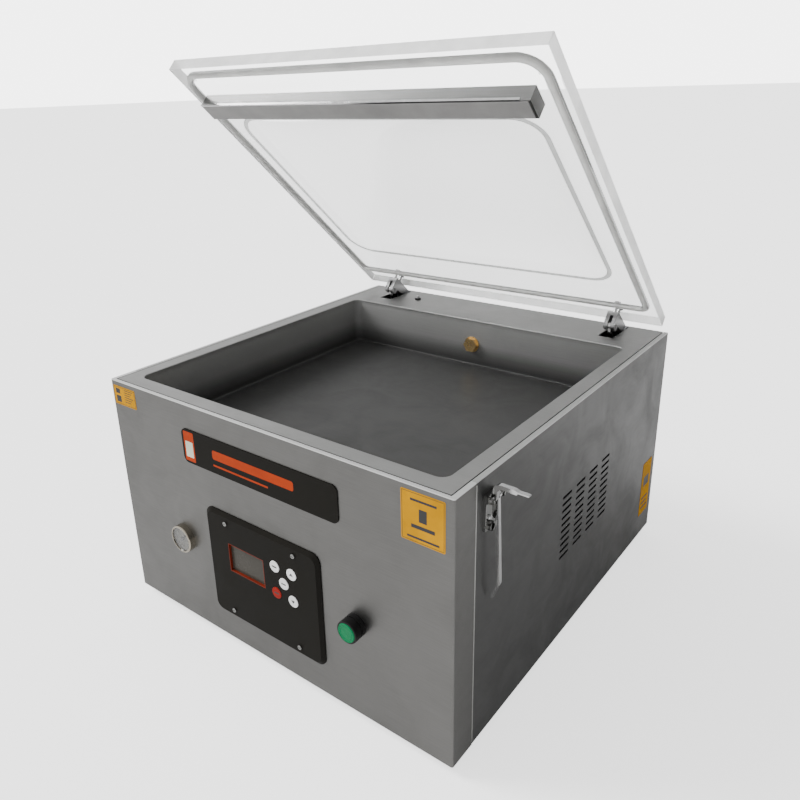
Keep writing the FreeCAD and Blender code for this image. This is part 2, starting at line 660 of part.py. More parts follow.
def control_panel():
    """Black moulded panel with bevelled edges, a window for the display and holes for the keys."""
    panel = new_body("control_panel")
    width, height = "panel_half_width", "panel_half_height"

    def face(inset):
        return rounded(f"{inset} - {width}", f"panel_z + {inset} - {height}",
                       f"{width} - {inset}", f"panel_z + {height} - {inset}", f"12 - {inset} / 2")

    add(panel, "Y", f"{FRONT} - 1.2", FRONT, face(0))
    blend(panel, "AdditiveLoft", "Y", (f"{FRONT} - 1.2", PANEL_FACE), (face(0), face(4.5)))
    openings = [rectangle("window_left", "window_low", "window_right", "window_high")]
    openings += [disc(x, z, "key_radius + 0.25") for _, x, z in KEY_PLACES]
    openings += [disc(x, z, 1.7) for x, z in SCREW_PLACES]
    cut(panel, "Y", PANEL_FACE, FRONT, several(*openings))
    keep(panel)


def panel_screws():
    screws = new_body("panel_screws")
    add(screws, "Y", PANEL_FACE, f"{FRONT} + 10", several(*[disc(x, z, 1.5) for x, z in SCREW_PLACES]))
    add(screws, "Y", f"{PANEL_FACE} - 2", PANEL_FACE,
        several(*[disc(x, z, 3.1) for x, z in SCREW_PLACES]))
    soften(screws, 1.1, lambda middle, edge: middle.y < size(PANEL_FACE) - 1.9)
    cut(screws, "Y", f"{PANEL_FACE} - 2", f"{PANEL_FACE} - 1",
        several(*[rectangle(f"{x} - 1.8", f"{z} - 0.35", f"{x} + 1.8", f"{z} + 0.35")
                  for x, z in SCREW_PLACES]))
    keep(screws)


def display():
    """Red liner of the window and the grey liquid crystal display set back inside it."""
    liner = new_body("display_frame")
    window = ("window_left", "window_low", "window_right", "window_high")
    inner = ("window_left + 0.9", "window_low + 0.9", "window_right - 0.9", "window_high - 0.9")
    add(liner, "Y", PANEL_FACE, f"{FRONT} + 3", rectangle(*window))
    cut(liner, "Y", PANEL_FACE, f"{FRONT} + 3", rectangle(*inner))
    keep(liner)
    screen = new_body("display_window")
    add(screen, "Y", f"{FRONT} - 1.1", f"{FRONT} + 3", rectangle(*inner))
    keep(screen)


def keys():
    for name, x, z in KEY_PLACES:
        key = new_body(f"key_{name}")
        add(key, "Y", f"{PANEL_FACE} - 0.7", f"{FRONT} - 1.6", disc(x, z, "key_radius"))
        soften(key, 0.5, lambda middle, edge: middle.y < size(PANEL_FACE) - 0.6)
        keep(key)


def control_board():
    board = new_body("control_board")
    add(board, "Y", f"{FRONT} + 8", f"{FRONT} + 9.6", rectangle(-72, 76, 72, 180))
    add(board, "Y", f"{FRONT} + 9.6", f"{FRONT} + 20", rectangle(-60, 84, -25, 112))
    add(board, "Y", f"{FRONT} + 9.6", f"{FRONT} + 24", rectangle(10, 84, 55, 104))
    add(board, "Y", f"{FRONT} + 3", f"{FRONT} + 8", rectangle("window_left + 3", 128, 2, 160))
    keep(board)


# ---- vacuum gauge and start button ----

def gauge():
    x, z = "gauge_x", "fitting_z"
    case = new_body("gauge_case")
    add(case, "Y", f"{FRONT} - 9", FRONT, disc(x, z, "gauge_radius"))
    soften(case, 1.6, lambda middle, edge: middle.y < size(FRONT) - 8.9)
    add(case, "Y", FRONT, f"{FRONT} + 24", disc(x, z, 17))
    add(case, "Y", f"{FRONT} + 24", f"{FRONT} + 36", disc(x, z, 5))
    cut(case, "Y", f"{FRONT} - 9", f"{FRONT} - 3", disc(x, z, 16.6))
    keep(case)
    dial = new_body("gauge_dial")
    add(dial, "Y", f"{FRONT} - 4", f"{FRONT} - 3", disc(x, z, 16.5))
    add(dial, "Y", f"{FRONT} - 6", f"{FRONT} - 4", disc(x, z, 0.8))
    keep(dial)
    needle = new_body("gauge_needle")
    add(needle, "Y", f"{FRONT} - 5.6", f"{FRONT} - 4.6",
        outline([(f"{x} - 5.2", f"{z} - 3.4"), (f"{x} - 3.4", f"{z} - 5.2"),
                 (f"{x} + 8.7", f"{z} + 7.9"), (f"{x} + 7.9", f"{z} + 8.7")]))
    add(needle, "Y", f"{FRONT} - 5.8", f"{FRONT} - 4.4", disc(x, z, 2.4))
    cut(needle, "Y", f"{FRONT} - 5.8", f"{FRONT} - 4.4", disc(x, z, 0.85))
    keep(needle)
    lens = new_body("gauge_lens")
    add(lens, "Y", f"{FRONT} - 8", f"{FRONT} - 6.6", disc(x, z, 16.5))
    keep(lens)


def start_button():
    x, z = "button_x", "fitting_z"
    bezel = new_body("start_button_bezel")
    add(bezel, "Y", f"{FRONT} - 17", f"{FRONT} - 9", disc(x, z, "button_radius"))
    soften(bezel, 1, lambda middle, edge: middle.y < size(FRONT) - 16.9)
    add(bezel, "Y", f"{FRONT} - 9", f"{FRONT} - 6", disc(x, z, "button_radius - 1.1"))
    add(bezel, "Y", f"{FRONT} - 6", FRONT, disc(x, z, "button_radius"))
    add(bezel, "Y", FRONT, f"{FRONT} + 22", disc(x, z, 11))
    cut(bezel, "Y", f"{FRONT} - 17", f"{FRONT} - 1", disc(x, z, "cap_radius + 0.1"))
    keep(bezel)
    cap = new_body("start_button_cap")
    add(cap, "Y", f"{FRONT} - 17.6", f"{FRONT} - 6", disc(x, z, "cap_radius"))
    soften(cap, 0.9, lambda middle, edge: middle.y < size(FRONT) - 17)
    keep(cap)
    contact = new_body("start_button_contact")
    add(contact, "Y", f"{FRONT} + 22", f"{FRONT} + 52",
        rectangle(f"{x} - 14", f"{z} - 20", f"{x} + 14", f"{z} + 20"))
    add(contact, "Y", f"{FRONT} + sheet_gauge", f"{FRONT} + 7", several(disc(x, z, 14.5),
                                                                      disc(x, z, 11.05)))
    keep(contact)


# ---- labels ----

def labels():
    plate = new_body("name_plate")
    add(plate, "Y", f"{FRONT} - 1.2", FRONT,
        rounded("-plate_half", "plate_low", "plate_half", "plate_high", 8))
    keep(plate)
    stickers = new_body("warning_labels")
    add(stickers, "Y", f"{FRONT} - 0.3", FRONT,
        several(rounded(-260.5, 298.3, -215, 324.4, 1.5), rounded(205, 270, 255.5, 325, 1.5)))
    add(stickers, "X", SIDE, f"{SIDE} + 0.3", rounded(238, 48, 274, 137, 1.5))
    keep(stickers)


# ---- side latch ----

def latch():
    """Hold-down latch on the right side: riveted channel, bent finger lever and hanging hook."""
    low_y, high_y = "latch_y - latch_half", "latch_y + latch_half"
    pin_x, pin_z = f"{SIDE} + 8.5", "latch_high - 3"
    base = new_body("latch_base")
    add(base, "X", SIDE, f"{SIDE} + 1.5", rounded(low_y, "latch_low", high_y, "latch_high", 5))
    for inner, outer in ((low_y, f"{low_y} + 1.6"), (f"{high_y} - 1.6", high_y)):
        add(base, "Y", inner, outer,
            outline([(f"{SIDE} + 1", "latch_low + 7"), (f"{SIDE} + 3.5", "latch_low + 9"),
                     (f"{SIDE} + 4", "latch_high - 8.5"), (f"{SIDE} + 12.5", "latch_high - 6"),
                     (f"{SIDE} + 12.5", "latch_high"), (f"{SIDE} + 1", "latch_high")],
                    [0, 1.5, 1.5, 2, 3.5, 0]))
    add(base, "Z", "latch_high - 1.6", "latch_high",
        rectangle(f"{SIDE} + 1", f"{low_y} + 1", f"{SIDE} + 4.5", f"{high_y} - 1"))
    add(base, "X", f"{SIDE} + 1.5", f"{SIDE} + 6",
        several(disc("latch_y", "latch_low + 5", 5.2), disc("latch_y", "latch_low + 5", 3.2)))
    cut(base, "Y", low_y, high_y, disc(pin_x, pin_z, 1.54))
    keep(base)
    pins = new_body("latch_rivets")
    add(pins, "Y", f"{low_y} - 0.8", f"{high_y} + 0.8", disc(pin_x, pin_z, 1.5))
    places = [("latch_y", "latch_high - 10"), ("latch_y", "latch_high - 28.4")]
    add(pins, "X", f"{SIDE} + 1.5", f"{SIDE} + 3.4", several(*[disc(y, z, 2.8) for y, z in places]))
    soften(pins, 1, lambda middle, edge: middle.x > size(SIDE) + 3.3 and edge.Length > 15)
    keep(pins)
    lever = new_body("latch_lever")
    finger = ("latch_y - 6.6", "latch_y - 1.4")
    add(lever, "Y", *finger,
        outline([(f"{pin_x} - 3", f"{pin_z} - 2.5"), (f"{pin_x} + 3", f"{pin_z} - 2.5"),
                 (f"{pin_x} + 5", f"{pin_z} + 12.5"), (f"{pin_x} + 24.5", f"{pin_z} + 12"),
                 (f"{pin_x} + 25", f"{pin_z} + 13.9"), (f"{pin_x} + 36.8", f"{pin_z} + 13.8"),
                 (f"{pin_x} + 36.8", f"{pin_z} + 15"), (f"{pin_x} + 26", f"{pin_z} + 15.2"),
                 (f"{pin_x} + 22", f"{pin_z} + 16.7"), (f"{pin_x} + 0.5", f"{pin_z} + 17")],
                [2.4, 2.4, 5, 0.8, 0.4, 0.5, 0.5, 3, 6, 9]))
    cut(lever, "Y", *finger, disc(pin_x, pin_z, 1.56))
    keep(lever)
    hook = new_body("latch_hook")
    rod = ("latch_y + 1.2", "latch_y + 5.8")
    add(hook, "Y", *rod,
        outline([(f"{pin_x} + 2.9", f"{pin_z} - 98"), (f"{pin_x} - 4.4", f"{pin_z} - 117.8"),
                 (f"{pin_x} - 2", f"{pin_z} - 119"), (f"{pin_x} + 5.7", f"{pin_z} - 99"),
                 (f"{pin_x} + 1.4", pin_z), (f"{pin_x} - 1.4", pin_z)], [9, 0.8, 0.8, 12, 0, 0]))
    add(hook, "Y", *rod, disc(pin_x, pin_z, 3))
    cut(hook, "Y", *rod, disc(pin_x, pin_z, 1.56))
    keep(hook)


# ---- machinery inside ----

def vacuum_pump():
    pump = new_body("vacuum_pump")
    pan = "foot_height + pan_gauge"
    add(pump, "Z", f"{pan} + 12", 150, rounded(-110, 84, 56, 246, 10))
    ribs = [rectangle(x, 78, x + 4, 250) for x in range(-100, 50, 16)]
    add(pump, "Z", 60, 140, several(*ribs))
    add(pump, "Z", 150, 168, disc("plug_x", 236, 14))
    feet = [disc(x, y, 9) for x in (-95, 40) for y in (100, 230)]
    add(pump, "Z", pan, f"{pan} + 12", several(*feet))
    keep(pump)


def pump_motor():
    y, z = 150, 92
    motor = new_body("pump_motor")
    add(motor, "X", 56, 190, disc(y, z, 56))
    fins = [rectangle(f"{y} - 60", f"{z} + {rise}", f"{y} + 60", f"{z} + {rise} + 2.5")
            for rise in (-26, -13, 0, 13, 26)]
    add(motor, "X", 70, 180, several(*fins))
    add(motor, "X", 190, 210, disc(y, z, 7))
    add(motor, "Z", "foot_height + pan_gauge", 44, rectangle(90, 120, 160, 180))
    keep(motor)
    fan = new_body("motor_fan")
    add(fan, "X", 195, 207, disc(y, z, 16))
    for turn in range(6):
        angle = math.pi / 3 * turn
        ahead, across = (math.cos(angle), math.sin(angle)), (-math.sin(angle), math.cos(angle))
        corners = [(14, -1.2), (46, -1.2), (46, 1.2), (14, 1.2)]
        add(fan, "X", 196, 206,
            outline([(y + reach * ahead[0] + side * across[0], z + reach * ahead[1] + side * across[1])
                     for reach, side in corners]))
    cut(fan, "X", 195, 207, disc(y, z, 7.05))
    keep(fan)
    cover = new_body("fan_cover")
    add(cover, "X", 190, 218, disc(y, z, 58))
    cut(cover, "X", 190, 216, disc(y, z, 56))
    holes = [rounded(f"{y} - 40", f"{z} + {rise} - 2.5", f"{y} + 40", f"{z} + {rise} + 2.5", 2.4)
             for rise in range(-36, 37, 12)]
    cut(cover, "X", 216, 218, several(*holes))
    keep(cover)


def transformer():
    block = new_body("transformer")
    pan = "foot_height + pan_gauge"
    add(block, "Z", pan, f"{pan} + 70", rectangle(-215, -90, -135, -10))
    add(block, "Z", f"{pan} + 10", f"{pan} + 60", rounded(-203, -100, -147, 0, 8))
    keep(block)


base_pan()
rubber_feet()
front_panel()
side_panel("side_panel_left", -1)
side_panel("side_panel_right", 1)
rear_panel()
rear_screws()
power_inlet()
chamber_tub()
vacuum_plug()
vacuum_hose()
seal_bar()
seal_bar_lift()
lid()
lid_gasket()
counter_bar()
hinge_bracket("hinge_bracket_left", "-hinge_x")
hinge_bracket("hinge_bracket_right", "hinge_x")
bracket_bolts()
gas_spring_pins()
hinge_bases()
hinge_pins()
gas_spring_rod("gas_spring_rod_left", "-hinge_x")
gas_spring_rod("gas_spring_rod_right", "hinge_x")
gas_spring_tube("gas_spring_tube_left", "-hinge_x")
gas_spring_tube("gas_spring_tube_right", "hinge_x")
lid_switch()
control_panel()
panel_screws()
display()
keys()
control_board()
gauge()
start_button()
labels()
latch()
vacuum_pump()
pump_motor()
transformer()

doc.recompute()
for item in doc.Objects:
    if "Invalid" in item.State or "Error" in item.State:
        raise ValueError(f"{item.Label} failed: {item.State}")
os.makedirs("parts", exist_ok=True)
for body in SUB_PARTS:
    if body.Shape.isNull() or not body.Shape.isValid():
        raise ValueError(f"{body.Label} has no valid shape")
    body.Shape.exportStep(f"parts/{body.Label}.step")
print(f"{len(SUB_PARTS)} sub-parts written")
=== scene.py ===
import math

import bmesh
import bpy
from mathutils import Matrix, Vector


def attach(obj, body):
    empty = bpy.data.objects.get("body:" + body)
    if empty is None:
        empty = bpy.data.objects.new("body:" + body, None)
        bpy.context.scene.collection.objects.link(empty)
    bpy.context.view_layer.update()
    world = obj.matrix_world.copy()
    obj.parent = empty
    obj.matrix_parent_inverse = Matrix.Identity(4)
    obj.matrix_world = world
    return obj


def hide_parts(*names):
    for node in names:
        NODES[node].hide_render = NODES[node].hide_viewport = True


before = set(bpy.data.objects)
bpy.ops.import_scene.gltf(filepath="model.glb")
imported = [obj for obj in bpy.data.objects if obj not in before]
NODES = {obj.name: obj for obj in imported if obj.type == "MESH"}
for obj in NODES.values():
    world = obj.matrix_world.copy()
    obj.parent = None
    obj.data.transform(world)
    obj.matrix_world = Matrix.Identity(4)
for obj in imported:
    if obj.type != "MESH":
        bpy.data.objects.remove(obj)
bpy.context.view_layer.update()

# The cabinet's middle, as seen from the frame's origin under the front left foot. The sizes below
# are millimetres about that middle: x to the right, y to the back, z up from the table.
MIDDLE = Vector((225, 246, 0))
FRONT = -286.0
SIDE = 265.0
RIM = 331.0

# The lid is drawn shut, then turned open about its hinge.
HINGE = Vector((0, 274.5, 327.8))
OPEN = math.radians(-42)
LID_UNDER = 333.8
LID_THICK = 16.0
LID_BACK = 255.0
LID_LENGTH = 540.0
LID_HALF = 262.5

# Fittings on the front, by the x and z of their middles.
GAUGE = (-146.0, 135.5)
BUTTON = (142, 135.5)

# How far printed marks stand off their faces.
FILM = 0.06
THIN_FILM = 0.05

# Levels in metres for materials: up the chamber's walls for their painted shade, and across a panel's
# folded top edge for its painted highlight.
WALL_SHADE_LEVELS = (0.2609, 0.3309)
EDGE_HIGHLIGHT_LEVELS = (0.3298, 0.3304)


def at(x, y, z):
    """A point given in millimetres about the cabinet's middle, in the frame's metres."""
    return (Vector((x, y, z)) + MIDDLE) / 1000


def opened():
    """The turn that opens the lid, in millimetres about the cabinet's middle."""
    return Matrix.Translation(HINGE) @ Matrix.Rotation(OPEN, 4, "X") @ Matrix.Translation(-HINGE)


# ---- materials ----

def worked_out(tree, operation, one, two):
    """A Math node on two outputs, or on an output and a number."""
    made = tree.nodes.new("ShaderNodeMath")
    made.operation = operation
    for socket, value in zip(made.inputs, (one, two)):
        if isinstance(value, float):
            socket.default_value = value
        else:
            tree.links.new(value, socket)
    return made.outputs[0]


class Look:
    """A Principled material and the few node patterns that this machine needs."""

    def __init__(self, name, color, rough=0.5, metal=0.0, **sockets):
        self.material = bpy.data.materials.new(name)
        self.material.use_nodes = True
        self.tree = self.material.node_tree
        self.shader = self.tree.nodes["Principled BSDF"]
        self.set("Base Color", (*color, 1.0))
        self.set("Roughness", rough)
        self.set("Metallic", metal)
        for socket, value in sockets.items():
            self.set(socket.replace("_", " "), value)
        self.height = None

    def set(self, socket, value):
        self.shader.inputs[socket].default_value = value

    def node(self, kind, **values):
        made = self.tree.nodes.new(kind)
        for key, value in values.items():
            setattr(made, key, value)
        return made

    def link(self, source, target):
        self.tree.links.new(source, target)

    def place(self, stretch=(1, 1, 1)):
        """Object coordinates in metres, stretched so that grain can run one way."""
        where = self.node("ShaderNodeTexCoord")
        mapping = self.node("ShaderNodeMapping")
        mapping.inputs["Scale"].default_value = stretch
        self.link(where.outputs["Object"], mapping.inputs["Vector"])
        return mapping.outputs["Vector"]

    def noise(self, scale, stretch=(1, 1, 1), detail=4.0, rough=0.55, distort=0.0):
        made = self.node("ShaderNodeTexNoise")
        made.inputs["Scale"].default_value = scale
        made.inputs["Detail"].default_value = detail
        made.inputs["Roughness"].default_value = rough
        made.inputs["Distortion"].default_value = distort
        self.link(self.place(stretch), made.inputs["Vector"])
        return made.outputs["Fac"]

    def between(self, factor, low, high, start=0.3, end=0.7):
        """Maps a pattern onto a range of numbers."""
        made = self.node("ShaderNodeMapRange")
        made.inputs["From Min"].default_value = start
        made.inputs["From Max"].default_value = end
        made.inputs["To Min"].default_value = low
        made.inputs["To Max"].default_value = high
        self.link(factor, made.inputs["Value"])
        return made.outputs["Result"]

    def level(self):
        """Height in the frame, in metres."""
        split = self.node("ShaderNodeSeparateXYZ")
        self.link(self.place(), split.inputs["Vector"])
        return split.outputs["Z"]

    def mix(self, factor, one, two, blend="MIX"):
        """Blends two colours; each may be a colour or an output, and the factor a number."""
        made = self.node("ShaderNodeMix", data_type="RGBA", blend_type=blend)
        for socket, value in ((made.inputs[6], one), (made.inputs[7], two)):
            if isinstance(value, tuple):
                socket.default_value = (*value, 1.0)
            else:
                self.link(value, socket)
        if isinstance(factor, float):
            made.inputs[0].default_value = factor
        else:
            self.link(factor, made.inputs[0])
        return made.outputs[2]

    def ramp(self, factor, stops):
        """Greys along a pattern, from (place, value) stops."""
        made = self.node("ShaderNodeValToRGB")
        self.link(factor, made.inputs["Fac"])
        marks = made.color_ramp.elements
        marks[0].position, marks[1].position = stops[0][0], stops[-1][0]
        for place, _ in stops[1:-1]:
            marks.new(place)
        for mark, (_, value) in zip(marks, stops):
            mark.color = (value, value, value, 1.0)
        return made.outputs["Color"]

    def add_height(self, pattern, depth, strength=1.0):
        """Adds a bump, its depth in metres."""
        bump = self.node("ShaderNodeBump")
        bump.inputs["Strength"].default_value = strength
        bump.inputs["Distance"].default_value = depth
        self.link(pattern, bump.inputs["Height"])
        if self.height is not None:
            self.link(self.height, bump.inputs["Normal"])
        self.height = bump.outputs["Normal"]
        self.link(self.height, self.shader.inputs["Normal"])

    def color(self, output):
        self.link(output, self.shader.inputs["Base Color"])

    def rough(self, output):
        self.link(output, self.shader.inputs["Roughness"])


def brushed(name, dark, light, grain, rough=(0.34, 0.5), inside=(), lip=None):
    """Brushed metal sheet: fine grain one way, soft cloudy staining and finger marks.

    The drawn sheet inside the chamber gets painted shade, darkest at its floor, and is less metallic:
    inside gives (level, brightness) up its walls.
    A panel's folded top edge gets a painted highlight: lip is its colour.
    """
    look = Look(name, light, 0.4, 1.0, Specular_IOR_Level=0.2)
    grain_fac = look.noise(900, grain, 3.0)
    fine = look.noise(2600, grain, 2.0)
    clouds = look.noise(3.0, (1, 1, 1), 5.0, 0.6, 0.4)
    smudge = look.noise(16, (1, 1, 1), 4.0, 0.6, 0.8)
    tone = look.mix(look.between(clouds, 0, 1, 0.35, 0.65), dark, light)
    streak = look.mix(look.between(grain_fac, 0, 1), tuple(c * 0.93 for c in dark), light)
    tone = look.mix(0.38, tone, streak)
    # Painted shade: the chamber's floor and lower walls are darkened by height, and the same levels
    # make them less metallic.
    if inside:
        level = look.between(look.level(), 0, 1, *WALL_SHADE_LEVELS)
        tone = look.mix(1.0, tone, look.ramp(level, inside), "MULTIPLY")
        look.link(look.between(level, 0.3, 1.0, 0.9, 0.99), look.shader.inputs["Metallic"])
    # Painted highlight: a bright band of the lip colour along the panel's folded top edge.
    if lip:
        tone = look.mix(look.between(look.level(), 0, 1, *EDGE_HIGHLIGHT_LEVELS), tone, lip)
    look.color(tone)
    wear = look.between(smudge, rough[0], rough[1])
    look.rough(worked_out(look.tree, "ADD", wear, look.between(fine, -0.03, 0.03)))
    look.add_height(grain_fac, 0.00004, 0.35)
    look.add_height(clouds, 0.0012, 0.12)
    return look.material


def moulded(name, color, rough=0.45, grain=0.00003, scale=1400, gloss=0.5, **sockets):
    """Moulded plastic or rubber with a fine grain and uneven gloss."""
    look = Look(name, color, rough, 0.0, Specular_IOR_Level=gloss, **sockets)
    grain_fac = look.noise(scale, detail=2.0)
    uneven = look.noise(30, detail=3.0)
    look.color(look.mix(look.between(uneven, 0, 1), tuple(c * 0.85 for c in color),
                        tuple(min(1, c * 1.12) for c in color)))
    look.rough(look.between(uneven, rough - 0.06, rough + 0.08))
    look.add_height(grain_fac, grain, 0.5)
    return look.material


def plated(name, color, rough, worn=0.06, scale=60):
    """Plated, polished or cast metal with slight waviness and wear."""
    look = Look(name, color, rough, 1.0)
    uneven = look.noise(scale, detail=4.0, distort=0.5)
    fine = look.noise(scale * 18, detail=2.0)
    look.color(look.mix(look.between(uneven, 0, 1), tuple(c * 0.86 for c in color), color))
    look.rough(look.between(uneven, max(0.02, rough - worn), rough + worn))
    look.add_height(fine, 0.00002, 0.3)
    return look.material


def clear(name, color, rough, ior=1.49, haze=0.03, **sockets):
    """Clear plastic with faint smears that soften it."""
    look = Look(name, color, rough, 0.0, IOR=ior, Transmission_Weight=1.0, **sockets)
    smear = look.noise(7, (1, 1, 1), 5.0, 0.6, 0.6)
    look.rough(look.between(smear, rough, rough + haze))
    look.add_height(look.noise(12, detail=2.0), 0.0006, 0.1)
    return look.material


# One stainless steel in three base tones: the front's is darkened by painted shade, the sides' and
# rear's are darker still, and the top's is lighter. Each lip colour is a painted highlight, dimmer on
# the shaded sides.
STEEL_FRONT = brushed("steel_front", (0.16, 0.158, 0.152), (0.20, 0.197, 0.19), (0.02, 1, 1),
                      lip=(0.86, 0.86, 0.85))
STEEL_SHADED_SIDE = brushed("steel_side_painted_shade", (0.095, 0.095, 0.093), (0.122, 0.122, 0.12), (1, 0.02, 1),
                     lip=(0.62, 0.62, 0.61))
# The top's inside ramp is painted shade, darkest on the chamber floor and lighter up the walls to the
# rim.
STEEL_TOP = brushed("steel_top", (0.50, 0.50, 0.49), (0.60, 0.60, 0.59), (0.02, 1, 1),
                    inside=((0.03, 0.11), (0.22, 0.24), (0.45, 0.5), (0.92, 0.66), (0.99, 0.76)))
# Painted highlight: a lighter copy of the steel for cut sheet edges that catch the light.
SHEET_EDGE_HIGHLIGHT = plated("sheet_edge_highlight", (0.62, 0.62, 0.60), 0.42, 0.08, 200)
ZINC = plated("zinc_plate", (0.50, 0.51, 0.52), 0.42, 0.10, 25)
CHROME = plated("polished_steel", (0.70, 0.70, 0.70), 0.12)
# Painted shade: plated steel darker than the chrome, standing in for the dark surroundings the latch
# plate mirrors; the screws share it.
PLATED_SHADED = plated("plated_painted_shade", (0.30, 0.30, 0.29), 0.14)
NICKEL = plated("nickel_rim", (0.44, 0.40, 0.33), 0.16)
CAST = plated("die_cast", (0.46, 0.46, 0.46), 0.40, 0.10, 120)
ALUMINIUM = brushed("anodised_bar", (0.24, 0.24, 0.236), (0.30, 0.30, 0.296), (0.02, 1, 1),
                    (0.28, 0.36))
SILICONE = moulded("silicone_grey", (0.30, 0.295, 0.29), 0.55)
BRASS = plated("brass", (0.95, 0.68, 0.32), 0.3, 0.08)
RUBBER = moulded("rubber_black", (0.018, 0.018, 0.018), 0.7, 0.00008, 700)
BLACK_PLASTIC = moulded("black_plastic", (0.010, 0.010, 0.010), 0.42, gloss=0.2)
PANEL_BLACK = moulded("panel_black", (0.012, 0.011, 0.009), 0.5, 0.00002, gloss=0.06)
RED_LINER = moulded("red_liner", (0.17, 0.022, 0.010), 0.4, gloss=0.1)
KEY_WHITE = moulded("key_white", (0.92, 0.92, 0.90), 0.32)
KEY_RED = moulded("key_red", (0.30, 0.014, 0.008), 0.4, gloss=0.08)
LENS_GREEN = moulded("lens_green", (0.0, 0.20, 0.07), 0.3, gloss=0.15)
DIAL_WHITE = moulded("dial_white", (0.24, 0.225, 0.19), 0.5, gloss=0.1)
INK = moulded("ink_black", (0.02, 0.02, 0.02), 0.5)
YELLOW = moulded("label_yellow", (0.60, 0.28, 0.0), 0.6, gloss=0.04)
ORANGE = moulded("plate_orange", (0.42, 0.045, 0.008), 0.5, gloss=0.06)
TAPE = moulded("sealing_tape", (0.55, 0.50, 0.38), 0.6, 0.00006, 900)
PAINTED = moulded("machinery_grey", (0.16, 0.17, 0.18), 0.5, 0.0002, 300)
BOARD = moulded("board_green", (0.02, 0.12, 0.05), 0.45)
LCD = moulded("display_grey", (0.055, 0.05, 0.041), 0.25, gloss=0.15)
LID_CLEAR = clear("lid_clear", (0.965, 0.968, 0.966), 0.03, 1.03, Coat_Weight=1.0, Coat_Roughness=0.04)
# The crease band's grey tint is painted shade standing in for the lines the dome's crease shows; its
# frosting stands for where the sheet was clamped.
LID_CREASE_SHADE = clear("lid_crease_shade", (0.42, 0.425, 0.42), 0.35, 1.03, 0.15, Coat_Weight=1.0,
                   Coat_Roughness=0.1)
LID_EDGE = moulded("lid_edge", (0.86, 0.86, 0.85), 0.5, Transmission_Weight=0.35)
CARD = moulded("card_pale", (0.62, 0.66, 0.50), 0.45)
GASKET = moulded("gasket_silicone", (0.80, 0.80, 0.78), 0.4, Transmission_Weight=0.55)
LENS_CLEAR = clear("gauge_glass", (0.97, 0.98, 0.98), 0.01)


def dress(node, look):
    """Gives a CAD node its material."""
    mesh = NODES[node].data
    mesh.materials.clear()
    mesh.materials.append(look)


DRESSES = {
    "front_panel": STEEL_FRONT, "side_panel_left": STEEL_SHADED_SIDE, "side_panel_right": STEEL_SHADED_SIDE,
    "rear_panel": STEEL_SHADED_SIDE, "chamber_tub": STEEL_TOP, "base_pan": ZINC, "rubber_feet": RUBBER,
    "rear_screws": PLATED_SHADED, "power_inlet": BLACK_PLASTIC, "vacuum_plug": BRASS,
    "vacuum_hose": RUBBER, "seal_bar": ALUMINIUM, "seal_bar_heater": TAPE,
    "seal_bar_pistons": CHROME, "lift_cylinders": ALUMINIUM, "lid": LID_CLEAR,
    "lid_gasket": GASKET, "counter_bar": ALUMINIUM, "counter_bar_silicone": SILICONE,
    "hinge_bracket_left": CAST, "hinge_bracket_right": CAST, "bracket_bolts": CHROME,
    "gas_spring_pins": CHROME, "hinge_bases": ZINC, "hinge_pins": CHROME,
    "gas_spring_rod_left": CHROME, "gas_spring_rod_right": CHROME,
    "gas_spring_tube_left": BLACK_PLASTIC, "gas_spring_tube_right": BLACK_PLASTIC,
    "lid_switch_plunger": CHROME, "lid_switch_body": BLACK_PLASTIC,
    "control_panel": PANEL_BLACK, "panel_screws": PLATED_SHADED, "display_frame": RED_LINER,
    "display_window": LCD, "key_top_left": KEY_WHITE, "key_top_right": KEY_WHITE,
    "key_middle": KEY_WHITE, "key_stop": KEY_RED, "key_low_right": KEY_WHITE,
    "control_board": BOARD, "gauge_case": NICKEL, "gauge_dial": DIAL_WHITE,
    "gauge_needle": INK, "gauge_lens": LENS_CLEAR, "start_button_bezel": BLACK_PLASTIC,
    "start_button_cap": LENS_GREEN, "start_button_contact": BLACK_PLASTIC,
    "name_plate": PANEL_BLACK, "warning_labels": YELLOW, "latch_base": PLATED_SHADED,
    "latch_rivets": CHROME, "latch_lever": CHROME, "latch_hook": CHROME,
    "vacuum_pump": PAINTED, "pump_motor": ALUMINIUM, "motor_fan": BLACK_PLASTIC,
    "fan_cover": BLACK_PLASTIC, "transformer": PAINTED,
}
for node_name, node_look in DRESSES.items():
    dress(node_name, node_look)


# ---- pieces ----

def piece(name, vertices, faces, look, body, lid=False, sharp=30):
    """A mesh given in millimetres about the cabinet's middle; on the lid it is given shut."""
    turn = opened() if lid else Matrix()
    mesh = bpy.data.meshes.new(name)
    mesh.from_pydata([at(*(turn @ Vector(v))) for v in vertices], [], faces)
    mesh.materials.append(look)
    work = bmesh.new()
    work.from_mesh(mesh)
    bmesh.ops.recalc_face_normals(work, faces=work.faces)
    work.to_mesh(mesh)
    work.free()
    mesh.shade_smooth()
    mesh.set_sharp_from_angle(angle=math.radians(sharp))
    made = bpy.data.objects.new(name, mesh)
    bpy.context.collection.objects.link(made)
    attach(made, body)
    return made


def round_path(x0, y0, x1, y1, radii, steps):
    """Points round a rectangle with its own radius at each corner, with outward normals."""
    corners = ((x0, y0, 180), (x1, y0, 270), (x1, y1, 0), (x0, y1, 90))
    path = []
    for (x, y, start), radius in zip(corners, radii):
        cx = x + radius if x == x0 else x - radius
        cy = y + radius if y == y0 else y - radius
        for step in range(steps + 1):
            angle = math.radians(start + 90 * step / steps)
            normal = (math.cos(angle), math.sin(angle))
            path.append(((cx + radius * normal[0], cy + radius * normal[1]), normal))
    return path


